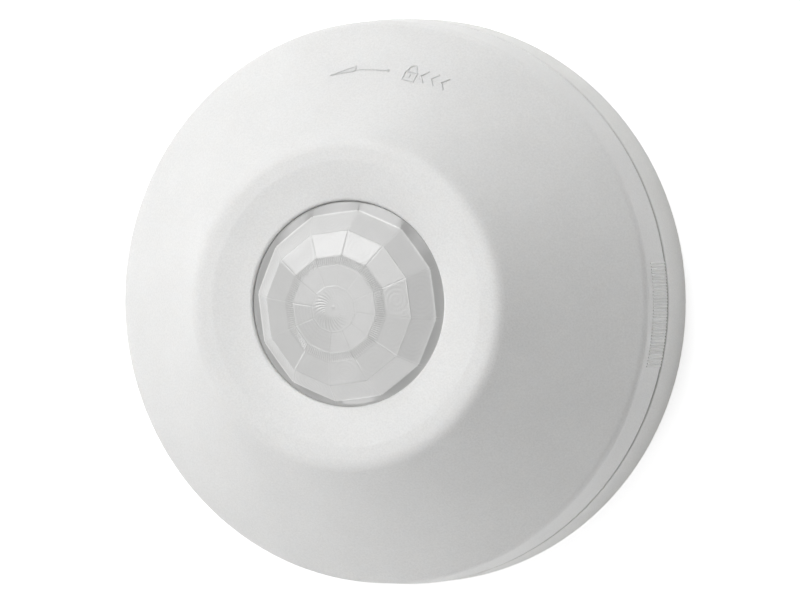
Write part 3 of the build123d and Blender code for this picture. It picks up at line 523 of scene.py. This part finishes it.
class Footprint:
    """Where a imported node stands: the angle it faces, and its extent along and across that."""

    def __init__(self, points):
        low = Vector([min(point[axis] for point in points) for axis in range(3)])
        high = Vector([max(point[axis] for point in points) for axis in range(3)])
        middle = (low + high) / 2
        self.angle = math.atan2(middle.y, middle.x)
        self.turn = Matrix.Rotation(self.angle, 4, "Z")
        local = [self.turn.inverted() @ point for point in points]
        self.low = Vector([min(point[axis] for point in local) for axis in range(3)])
        self.high = Vector([max(point[axis] for point in local) for axis in range(3)])
        self.middle = (self.low + self.high) / 2
        self.half = (self.high - self.low) / 2

    def out(self, x, y, z=0.0):
        """Point of the frame at a place measured from the footprint's middle, in its own directions."""
        return self.turn @ Vector((self.middle.x + x, self.middle.y + y, z))

    def frame_path(self, margin):
        """Closed rectangle round the footprint."""
        x = self.half.x + margin
        y = self.half.y + margin
        corners = [(-x, -y), (x, -y), (x, y), (-x, y), (-x, -y)]
        path = []
        for first, second in zip(corners, corners[1:]):
            path += [self.out(*first), self.out(*[a + (b - a) * 0.999 for a, b in zip(first, second)])]
        return path + [self.out(*corners[0])]


def footprint(node):
    """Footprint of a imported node."""
    return Footprint([vertex.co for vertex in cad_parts[node].data.vertices])


def islands(node):
    """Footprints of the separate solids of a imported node."""
    work = bmesh.new()
    work.from_mesh(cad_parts[node].data)
    bmesh.ops.remove_doubles(work, verts=work.verts, dist=0.001 * MM)
    left = set(work.verts)
    found = []
    while left:
        group = set()
        edge = [next(iter(left))]
        while edge:
            vertex = edge.pop()
            if vertex not in group:
                group.add(vertex)
                edge += [link.other_vert(vertex) for link in vertex.link_edges]
        left -= group
        found.append([vertex.co.copy() for vertex in group])
    work.free()
    return [Footprint(points) for points in sorted(found, key=lambda points: tuple(min(points, key=tuple)))]


# Lens

LENS_SIDES = 12
LENS_TURN = math.radians(25)
LENS_LEAN = 0.08
LENS_TIP_SHIFT = 0.98
LENS_WALL = 0.9
LENS_LEDGE_DROP = 8.12
LENS_TIP_SUNK = (0.1, 5.0)
LENS_FLANGE_W = 0.95
LENS_FLANGE_T = 1.0
LENS_NECK_T = 2.0
LENS_HOLE_GAP = 0.05
LENS_EDGE_CUT = 0.15
LENS_SAMPLES = 720
LENS_ROW_GAP = 0.2

# Fine relief of the lens: heights, widths and spacings in millimetres, shares by zone from the wall inwards.
LENS_BEADED = (0, 1, 3, 4)
LENS_BEAD = (0.035, 0.13)
LENS_SEAM = (0.08, 0.12)
LENS_SEAM_SHARE = (1.0, 1.0, 1.0, 0.45, 0.1, 0.0)
LENS_ARCS = (0.006, 0.85)
LENS_COMB = (0.12, 144)
LENS_GROOVES = (0.004, 0.7)
LENS_SWIRL = (0.07, 30)
LENS_SWIRL_TWIST = 0.5
LENS_SWIRL_SIDE = math.radians(210)
LENS_RIPPLES = (0.006, 0.6)
LENS_NUB = (0.09, 0.35)
LENS_NUB_PLACE = (0.15, 0.45)


def lens_side(angle):
    """Distance from the lens axis to its outline at an angle, as a share of the corners' radius."""
    side = 2 * math.pi / LENS_SIDES
    return math.cos(side / 2) / math.cos((angle - LENS_TURN) % side - side / 2)


def ripple(phase):
    """Pointed wave from 0 to 1 and back over a phase of one."""
    return 1 - abs(2 * (phase % 1) - 1)


def hump(distance, width):
    """Bell from 1 to 0 over a distance."""
    return math.exp(-((distance / width) ** 2))


def waves(relief, distance):
    """Rounded ribs of a height and spacing."""
    height, spacing = relief
    return height * math.sin(2 * math.pi * distance / spacing)


def teeth(relief, angle):
    """Pointed ribs of a height and a number round the lens."""
    height, count = relief
    return height * ripple(angle * count / (2 * math.pi))


def lens_relief(zone, share, length, radius, angle):
    """Height in millimetres of the lens's fine ribs, where a zone lies inward of the ring it is named by."""
    side = 2 * math.pi / LENS_SIDES
    past_corner = (angle - LENS_TURN) % side
    from_corner = min(past_corner, side - past_corner) * radius
    bead_height, bead_width = LENS_BEAD
    seam_depth, seam_width = LENS_SEAM
    height = 0.0
    if zone in LENS_BEADED:
        height += bead_height * hump(share * length, bead_width)
    if zone + 1 in LENS_BEADED:
        height += bead_height * hump((1 - share) * length, bead_width)
    height -= seam_depth * hump(from_corner, seam_width) * LENS_SEAM_SHARE[zone]
    if zone in (0, 1):
        offset = radius * math.sin(past_corner - side / 2)
        height += waves(LENS_ARCS, math.hypot((share - 0.5) * length, offset))
    if zone == 2:
        height += teeth(LENS_COMB, angle) * min(1, 4 * share, 4 - 4 * share)
    if zone == 3:
        height += waves(LENS_GROOVES, radius)
    if zone == 4:
        leaning = 0.5 + 0.5 * math.cos(angle - LENS_SWIRL_SIDE)
        fading = min(1, 3 * share, 5 - 5 * share)
        height += teeth(LENS_SWIRL, angle + LENS_SWIRL_TWIST * share) * leaning * fading
        height += waves(LENS_RIPPLES, radius) * (1 - leaning)
    if zone == 5:
        nub_height, nub_width = LENS_NUB
        x, y = LENS_NUB_PLACE
        from_nub = math.hypot(radius * math.cos(angle) - x, radius * math.sin(angle) - y)
        height += nub_height * hump(from_nub, nub_width)
    return height


def lens_rows():
    """Rows of the lens from its tip, down the outside, round the flange and back up the inside.

    Each row is a function of the angle that gives a point in millimetres.
    """
    low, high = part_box("fresnel_lens")
    top = high.z / MM
    foot = low.z / MM
    flange_r = (high.x - low.x) / 2 / MM
    neck_r = flange_r - LENS_FLANGE_W - LENS_HOLE_GAP
    bore_r = neck_r - LENS_NECK_T
    ledge = top - LENS_LEDGE_DROP
    flange_top = foot + LENS_FLANGE_T
    tip_sunk, tip_r = LENS_TIP_SUNK

    def facet_row(radius, drop, lean_drop, relief=None):
        shift = LENS_LEAN * lean_drop - LENS_TIP_SHIFT
        sunk = tip_sunk * hump(radius, tip_r) if relief else 0

        def at(angle):
            reach = radius * lens_side(angle)
            rise, slope = relief(reach, angle) if relief else (0, 0)
            reach += rise * math.sin(slope)
            lift = rise * math.cos(slope)
            z = min(top, top - drop + lift - sunk)
            return (reach * math.cos(angle), reach * math.sin(angle) + shift, z)

        return at

    def round_row(radius, z):
        return lambda angle: (radius * math.cos(angle), radius * math.sin(angle), z)

    rows = []
    zones = list(zip(LENS_RINGS, LENS_RINGS[1:] + ((0.0, -0.02),)))
    for zone, ((outer_r, outer_drop), (inner_r, inner_drop)) in reversed(list(enumerate(zones))):
        length = math.hypot(outer_r - inner_r, outer_drop - inner_drop)
        slope = math.atan2(outer_drop - inner_drop, outer_r - inner_r)
        count = max(3, round(length / LENS_ROW_GAP))
        for step in range(count, -1 if zone == 0 else 0, -1):
            share = step / count
            radius = outer_r + (inner_r - outer_r) * share
            drop = outer_drop + (inner_drop - outer_drop) * share

            def relief(reach, angle, zone=zone, share=share, length=length, slope=slope):
                return lens_relief(zone, share, length, reach, angle), slope

            if radius > 0:
                rows.append(facet_row(radius, drop, drop, relief))
    rows += [round_row(neck_r - LENS_EDGE_CUT, ledge), round_row(neck_r, ledge - LENS_EDGE_CUT)]
    rows += [round_row(neck_r, flange_top), round_row(flange_r, flange_top), round_row(flange_r, foot)]
    rows += [round_row(bore_r, foot), round_row(bore_r, ledge - LENS_WALL)]
    for radius, drop in LENS_RINGS:
        rows.append(facet_row(min(radius - LENS_WALL, bore_r), drop + LENS_WALL, drop))
    return rows


def make_lens():
    """Faceted dome with its neck and flange, ribbed and seamed outside and smooth inside."""
    angles = [2 * math.pi * i / LENS_SAMPLES for i in range(LENS_SAMPLES)]
    rows = lens_rows()
    points = [Vector(row(angle)) * MM for row in rows for angle in angles]
    faces = tube_faces(len(rows), LENS_SAMPLES)
    return new_piece("lens_dome", points, faces, "lens_plastic", "head", "fresnel_lens")


# Marks on the cover

# Radius and angles round the lens axis, and offsets from the radius, in millimetres and degrees.
MARK_R = 46.5
ARROW_TAIL_DEG = 86.6
ARROW_SHAFT_DEG = (87.0, 95.4)
ARROW_BACK_DEG = 95.2
ARROW_BARBS = (0.7, -0.3)
ARROW_TIP_DEG = 101.8
ARROW_TIP_DROP = 0.6
ARROW_SHAFT_DROP = 0.1
ARROW_TAIL_R = 0.22
LOCK_DEG = 80.6
LOCK_CORNERS = ((-1.25, -1.4), (1.25, -1.4), (1.25, 0.3), (-1.25, 0.3))
LOCK_SHACKLE_R = 0.85
LOCK_SHACKLE_RISE = 0.75
LOCK_SHACKLE_FOOT = 0.35
LOCK_KEYHOLE = (-0.9, -0.2)
CHEVRON_DEG = (77.0, 74.2, 71.4)
CHEVRON_HALF_W = 1.15


def cover_ground():
    """Height of the cover's outside over a point."""
    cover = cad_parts["front_cover"]
    surface = BVHTree.FromObject(cover, bpy.context.evaluated_depsgraph_get())
    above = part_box("front_cover")[1].z + 5 * MM
    return lambda spot: surface.ray_cast(Vector((spot.x, spot.y, above)), -UP)[0].z


def spread(path, steps=5):
    """A straight path with points between its ends, so that it can follow curved ground."""
    first, last = path[0], path[-1]
    return [first.lerp(last, i / steps) for i in range(steps + 1)]


def make_turn_arrow(ground):
    """Thin raised arrow along the cone that says which way the cover and head turn off."""
    shaft_r = MARK_R - ARROW_SHAFT_DROP
    shaft = arc((0, 0), shaft_r, *ARROW_SHAFT_DEG, 12)
    tip = polar(MARK_R - ARROW_TIP_DROP, ARROW_TIP_DEG)
    back = [polar(MARK_R + side, ARROW_BACK_DEG) for side in ARROW_BARBS]
    paths = [shaft, *[spread([barb, tip]) for barb in back], spread(back)]
    paths.append([polar(shaft_r, ARROW_TAIL_DEG) + polar(ARROW_TAIL_R, a) for a in range(0, 361, 45)])
    return strokes("turn_arrow", paths, 0.22 * MM, 0.14 * MM, ground, "cover_plastic", "cover")


def make_lock_mark(ground):
    """Raised pictograms beside the arrow: an open padlock and three chevrons that point its way."""
    middle = polar(MARK_R, LOCK_DEG)
    along = polar(1, LOCK_DEG + 90) / MM
    outward = polar(1, LOCK_DEG) / MM

    def at(left, up):
        return middle + (along * left + outward * up) * MM

    body = [at(*corner) for corner in LOCK_CORNERS]
    body_path = []
    for first, last in zip(body, body[1:] + body[:1]):
        body_path += spread([first, last], 4)[:-1]
    body_path.append(body_path[0])
    shackle = [at(LOCK_SHACKLE_R, LOCK_SHACKLE_FOOT)]
    for turn in (math.radians(a) for a in range(0, 181, 15)):
        across = LOCK_SHACKLE_R * math.cos(turn)
        shackle.append(at(across, LOCK_SHACKLE_RISE + LOCK_SHACKLE_R * math.sin(turn)))
    keyhole = spread([at(0, rise) for rise in LOCK_KEYHOLE], 3)
    paths = [body_path, shackle, keyhole]
    for angle in CHEVRON_DEG:
        nose = polar(MARK_R, angle + 1.0)
        for side in (CHEVRON_HALF_W, -CHEVRON_HALF_W):
            paths.append(spread([polar(MARK_R + side, angle - 0.5), nose]))
    return strokes("lock_mark", paths, 0.28 * MM, 0.22 * MM, ground, "cover_plastic", "cover")


# Circuit board

BOXED_PARTS = ("relay", "film_capacitor", "varistor", "dip_switch", "time_pot", "range_pot", "light_pot")
ROUND_PARTS = ("electrolytic_capacitor", "fuse", "choke_core")
# Radii of the tracks round the board in millimetres, and the parts they join.
TRACK_R = (28.2, 41.6)
TRACK_LANE_GAP = 0.9
TRACK_ENDS = (
    ("relay", "film_capacitor"),
    ("microcontroller", "light_pot"),
    ("choke_core", "dip_switch"),
    ("electrolytic_capacitor", "choke_core"),
    ("dip_switch", "range_pot"),
    ("varistor", "fuse"),
    ("microcontroller", "time_pot"),
)
VIA_COUNT = 46
VIA_R = 0.38
PRINT_T = 0.02 * MM


def level_ground(height):
    """Flat ground at a height."""
    return lambda spot: height


def board_ground():
    """The board's upper face."""
    return level_ground(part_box("circuit_board")[1].z)


def make_lens_light_sheet():
    """White sheet on the board inside the lens holder, so that the board doesn't darken the milky lens: it is
    no print on the real board but a stand-in that throws painted light up into the lens.
    """
    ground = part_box("circuit_board")[1].z
    low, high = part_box("fresnel_lens")
    inner_r = 0.5 * MM
    outer_r = (high.x - low.x) / 2 - 1.4 * MM
    steps = 72
    face = ground + 0.03 * MM
    rows = ((inner_r, ground), (inner_r, face), (outer_r, face), (outer_r, ground))
    points = [polar(radius / MM, 360 * i / steps, z / MM) for radius, z in rows for i in range(steps)]
    return new_piece("lens_light_sheet", points, tube_faces(4, steps), "board_ink", "head")


def round_outline(node, margin):
    """Circle round a node's footprint."""
    place = footprint(node)
    centre = place.out(0, 0) / MM
    return arc((centre.x, centre.y), max(place.half.x, place.half.y) / MM + margin, 0, 360, 36)


def make_silkscreen():
    """White outlines printed round the parts, with a ring at the first pin of the chip."""
    paths = [footprint(node).frame_path(0.7 * MM) for node in BOXED_PARTS]
    paths += [round_outline(node, 0.6) for node in ROUND_PARTS]
    chip = footprint("microcontroller")
    corner = chip.out(-chip.half.x - 0.9 * MM, -chip.half.y - 0.9 * MM) / MM
    paths.append(arc((corner.x, corner.y), 0.3, 0, 360, 10))
    for place in islands("chip_parts"):
        for side in (-1, 1):
            edge = [place.out(x * place.half.x * 0.5, side * (place.half.y + 0.35 * MM)) for x in (-1, 1)]
            paths.append(edge)
    return strokes("board_printing", paths, 0.18 * MM, PRINT_T, board_ground(), "board_ink", "head")


def make_tracks():
    """Copper tracks under the lacquer: out from a part, round the board and in to another."""
    paths = []
    for i, (first, last) in enumerate(TRACK_ENDS):
        start = footprint(first)
        end = footprint(last)
        for lane in (0, 1):
            radius = TRACK_R[i % len(TRACK_R)] + TRACK_LANE_GAP * lane
            a = math.degrees(start.angle) + 3 * lane
            b = math.degrees(end.angle) + 3 * lane
            sweep = (b - a + 180) % 360 - 180
            begin = polar(start.middle.x / MM, a)
            finish = polar(end.middle.x / MM, a + sweep)
            path = [begin.lerp(polar(radius, a), t / 3) for t in range(3)]
            turn_in = 1.5 * math.copysign(1, sweep)
            path += arc((0, 0), radius, a + turn_in, a + sweep - turn_in, 20)
            path += [polar(radius, a + sweep).lerp(finish, t / 3) for t in range(1, 4)]
            paths.append(path)
    return strokes("board_tracks", paths, 0.45 * MM, 0.035 * MM, board_ground(), "board_track", "head")


def make_vias():
    """Tinned holes scattered along the tracks, with a solder collar round each."""
    chance = random.Random(7)
    paths = []
    for _ in range(VIA_COUNT):
        radius = chance.choice(TRACK_R) + chance.uniform(-1.2, 1.2)
        centre = polar(radius, chance.uniform(0, 360)) / MM
        paths.append(arc((centre.x, centre.y), VIA_R, 0, 360, 12))
    return strokes("board_vias", paths, 0.34 * MM, 0.07 * MM, board_ground(), "solder", "head")


# Parts on the board


def solids_piece(name, solids, finish, body, *replaced):
    """One piece made of several solids, each a list of points with a list of faces."""
    points = []
    faces = []
    for solid_points, solid_faces in solids:
        faces += [tuple(corner + len(points) for corner in face) for face in solid_faces]
        points += solid_points
    return new_piece(name, points, faces, finish, body, *replaced)


def make_chip_parts():
    """Small ceramic parts, each with a tinned cap at both ends."""
    bodies = []
    ends = []
    for place in islands("chip_parts"):
        low, high = place.low.z, place.high.z
        x, y = place.half.x, place.half.y

        def block(first, last, inset, place=place, low=low, high=high, y=y):
            half = (last - first) / 2
            middle = (first + last) / 2
            corners = box_points(half, y - inset, low, high - inset, 0.03 * MM)
            return [place.out(middle + corner.x, corner.y, corner.z) for corner in corners], BOX_FACES

        bodies.append(block(-0.7 * x, 0.7 * x, 0.06 * MM))
        ends += [block(-x, -0.6 * x, 0.0), block(0.6 * x, x, 0.0)]
    soften(solids_piece("chip_part_bodies", bodies, "small_parts", "head", "chip_parts"), 0.04 * MM)
    soften(solids_piece("chip_part_ends", ends, "chip_ends", "head", "chip_parts"), 0.08 * MM, 3)


# Bent leads of the chip, in millimetres: reach from its side and height of the middle of the metal.
CHIP_LEADS = 8
CHIP_LEAD_SPACING = 0.8
CHIP_LEAD_REACH = 1.0
CHIP_LEAD_HALF_W = 0.16
CHIP_LEAD_HALF_T = 0.08
CHIP_LEAD_PROFILE = ((-0.1, 0.72), (0.28, 0.72), (0.5, 0.09), (CHIP_LEAD_REACH, 0.09))
CHIP_DRAFT = 0.14


def make_chip():
    """Moulded chip with a printed first-pin mark, on bent leads along its four sides."""
    place = footprint("microcontroller")
    foot, top = place.low.z, place.high.z
    half = place.half.x - CHIP_LEAD_REACH * MM
    waist = (foot + top) / 2 + 0.08 * MM
    points = []
    for inset, z in ((CHIP_DRAFT, foot + 0.15 * MM), (0.0, waist), (CHIP_DRAFT, top)):
        for x, y in SQUARE:
            points.append(place.out(x * (half - inset * MM), y * (half - inset * MM), z))
    body = new_piece("chip_body", points, tube_faces(3, 4), "chip_black", "head", "microcontroller")
    soften(body, 0.06 * MM)
    leads = []
    for quarter in range(4):
        turn = Matrix.Rotation(quarter * math.pi / 2, 4, "Z")
        for i in range(CHIP_LEADS):
            across = (i - (CHIP_LEADS - 1) / 2) * CHIP_LEAD_SPACING
            lead = []
            for reach, rise in CHIP_LEAD_PROFILE:
                for side, level in SQUARE:
                    spot = turn @ Vector((half + reach * MM, (across + CHIP_LEAD_HALF_W * side) * MM, 0))
                    lead.append(place.out(spot.x, spot.y, foot + (rise + CHIP_LEAD_HALF_T * level) * MM))
            leads.append((lead, tube_faces(len(CHIP_LEAD_PROFILE), 4)))
    solids_piece("chip_leads", leads, "chip_ends", "head", "microcontroller")
    corner = place.out(0.8 * MM - half, 0.8 * MM - half) / MM
    mark = arc((corner.x, corner.y), 0.28, 0, 360, 14)
    strokes("chip_mark", [mark], 0.14 * MM, 0.015 * MM, level_ground(top), "board_ink", "head")


WIRE_R = 0.2
WIRE_AROUND_DEG = 6
WIRE_SECTION_DEG = 45


def make_winding():
    """Enamelled wire laid in close turns between the choke's flanges."""
    place = footprint("choke_winding")
    middle = place.out(0, 0)
    turns = int((place.high.z - place.low.z) / (2 * WIRE_R * MM))
    pitch = (place.high.z - place.low.z) / turns
    radius = place.half.x - WIRE_R * MM
    coils = []
    for i in range(turns):
        z = place.low.z + (i + 0.5) * pitch
        points = []
        for angle in range(0, 360, WIRE_AROUND_DEG):
            for section in range(0, 360, WIRE_SECTION_DEG):
                out = radius + WIRE_R * MM * math.cos(math.radians(section))
                spot = middle + polar(out / MM, angle)
                points.append((spot.x, spot.y, z + pitch / 2 * math.sin(math.radians(section))))
        faces = tube_faces(360 // WIRE_AROUND_DEG, 360 // WIRE_SECTION_DEG, closed=True)
        coils.append((points, faces))
    return solids_piece("winding_turns", coils, "winding_copper", "head", "choke_winding")


CAN_TOP_T = 0.04 * MM
CAN_TOP_STEPS = 60
CAN_SCORES_DEG = (20, 140, 260)
CAN_SCORE_R = (0.2, 1.2, 2.2, 3.2)
CAN_STRIPE_DEG = 44
CAN_STRIPE_STEPS = 12


def make_can_dress():
    """Bare scored top and pale stripe of the sleeved capacitor."""
    place = footprint("electrolytic_capacitor")
    middle = place.out(0, 0)
    top = place.high.z
    radius = place.half.x
    face = top + CAN_TOP_T
    rows = ((radius - 1.0 * MM, top), (radius - 1.15 * MM, face), (0.4 * MM, face))
    points = []
    for reach, z in rows:
        for i in range(CAN_TOP_STEPS):
            points.append(middle + polar(reach / MM, 360 * i / CAN_TOP_STEPS) + UP * (z - middle.z))
    new_piece("can_top", points, tube_faces(3, CAN_TOP_STEPS), "bare_can", "head")
    scores = [[middle + polar(reach, angle) for reach in CAN_SCORE_R] for angle in CAN_SCORES_DEG]
    strokes("can_scores", scores, 0.24 * MM, 0.05 * MM, level_ground(face), "bare_can", "head")
    stripe = []
    facing = math.degrees(place.angle)
    low = place.low.z + 3.4 * MM
    high = top - 0.9 * MM
    count = CAN_STRIPE_STEPS + 1
    last = CAN_STRIPE_STEPS
    for z, lift in ((low, -0.05), (low, 0.03), (high, 0.03), (high, -0.05)):
        for i in range(count):
            angle = facing + CAN_STRIPE_DEG * (i / CAN_STRIPE_STEPS - 0.5)
            spot = middle + polar(radius / MM + lift, angle)
            stripe.append((spot.x, spot.y, z))
    faces = []
    for row in range(4):
        here = row * count
        there = (row + 1) % 4 * count
        faces += [(here + i, here + i + 1, there + i + 1, there + i) for i in range(last)]
    faces += [tuple(row * count for row in range(4)), tuple(row * count + last for row in range(4))]
    new_piece("can_stripe", stripe, faces, "board_ink", "head")


# Height and place of the digits on the switch in millimetres, and strokes of 1 to 4 in shares of that height.
DIGIT_HEIGHT = 0.8
DIGIT_FOOT = 1.95
DIGIT_HALF_W = 0.35
DIGITS = (
    (((0.1, 0.8), (0.35, 1.0), (0.35, 0.0)),),
    (((0.0, 1.0), (0.7, 1.0), (0.7, 0.5), (0.0, 0.5), (0.0, 0.0), (0.7, 0.0)),),
    (((0.0, 1.0), (0.7, 1.0), (0.7, 0.0), (0.0, 0.0)), ((0.1, 0.5), (0.7, 0.5))),
    (((0.0, 1.0), (0.0, 0.45), (0.7, 0.45)), ((0.7, 1.0), (0.7, 0.0))),
)


def make_switch_numbers():
    """Lane numbers 1 to 4 printed on the switch block."""
    block = footprint("dip_switch")
    paths = []
    for number, digit in enumerate(DIGITS, start=1):
        lane = footprint(f"dip_slider_{number}")
        across = (block.turn.inverted() @ lane.out(0, 0)).y - block.middle.y
        for line in digit:
            corners = []
            for right, up in line:
                left = (DIGIT_HALF_W - right) * DIGIT_HEIGHT * MM
                corners.append(block.out((DIGIT_FOOT + DIGIT_HEIGHT * up) * MM, across + left))
            path = []
            for first, second in zip(corners, corners[1:]):
                path += [first, first.lerp(second, 0.999)]
            paths.append(path)
    ground = level_ground(block.high.z)
    return strokes("switch_numbers", paths, 0.13 * MM, PRINT_T, ground, "board_ink", "head")


SCALE_R = 3.55
SCALE_TICKS = (3.75, 4.0, 4.25)
SCALE_HALF_DEG = 135


def make_pot_scales():
    """Arc with ticks printed round each adjuster's knob."""
    paths = []
    for node in ("time_pot", "range_pot", "light_pot"):
        place = footprint(node)
        middle = place.out(0, 0) / MM
        facing = math.degrees(place.angle)
        first = facing - SCALE_HALF_DEG
        paths.append(arc((middle.x, middle.y), SCALE_R, first, facing + SCALE_HALF_DEG, 36))
        for i in range(7):
            angle = first + 45 * i
            paths.append([place.out(0, 0) + polar(reach, angle) for reach in SCALE_TICKS])
    ground = level_ground(footprint("time_pot").high.z)
    return strokes("pot_scales", paths, 0.16 * MM, PRINT_T, ground, "board_ink", "head")


# The scene

add_camera()
add_world(WORLD_GLOW)
add_floor()
for lamp, settings in LAMPS.items():
    softbox(lamp, *settings)

dress_frame()
make_lens()
make_lens_light_sheet()
make_silkscreen()
make_tracks()
make_vias()
make_chip_parts()
make_chip()
make_winding()
make_can_dress()
make_switch_numbers()
make_pot_scales()
on_cover = cover_ground()
make_turn_arrow(on_cover)
make_lock_mark(on_cover)

bpy.context.scene.view_settings.view_transform = "Standard"
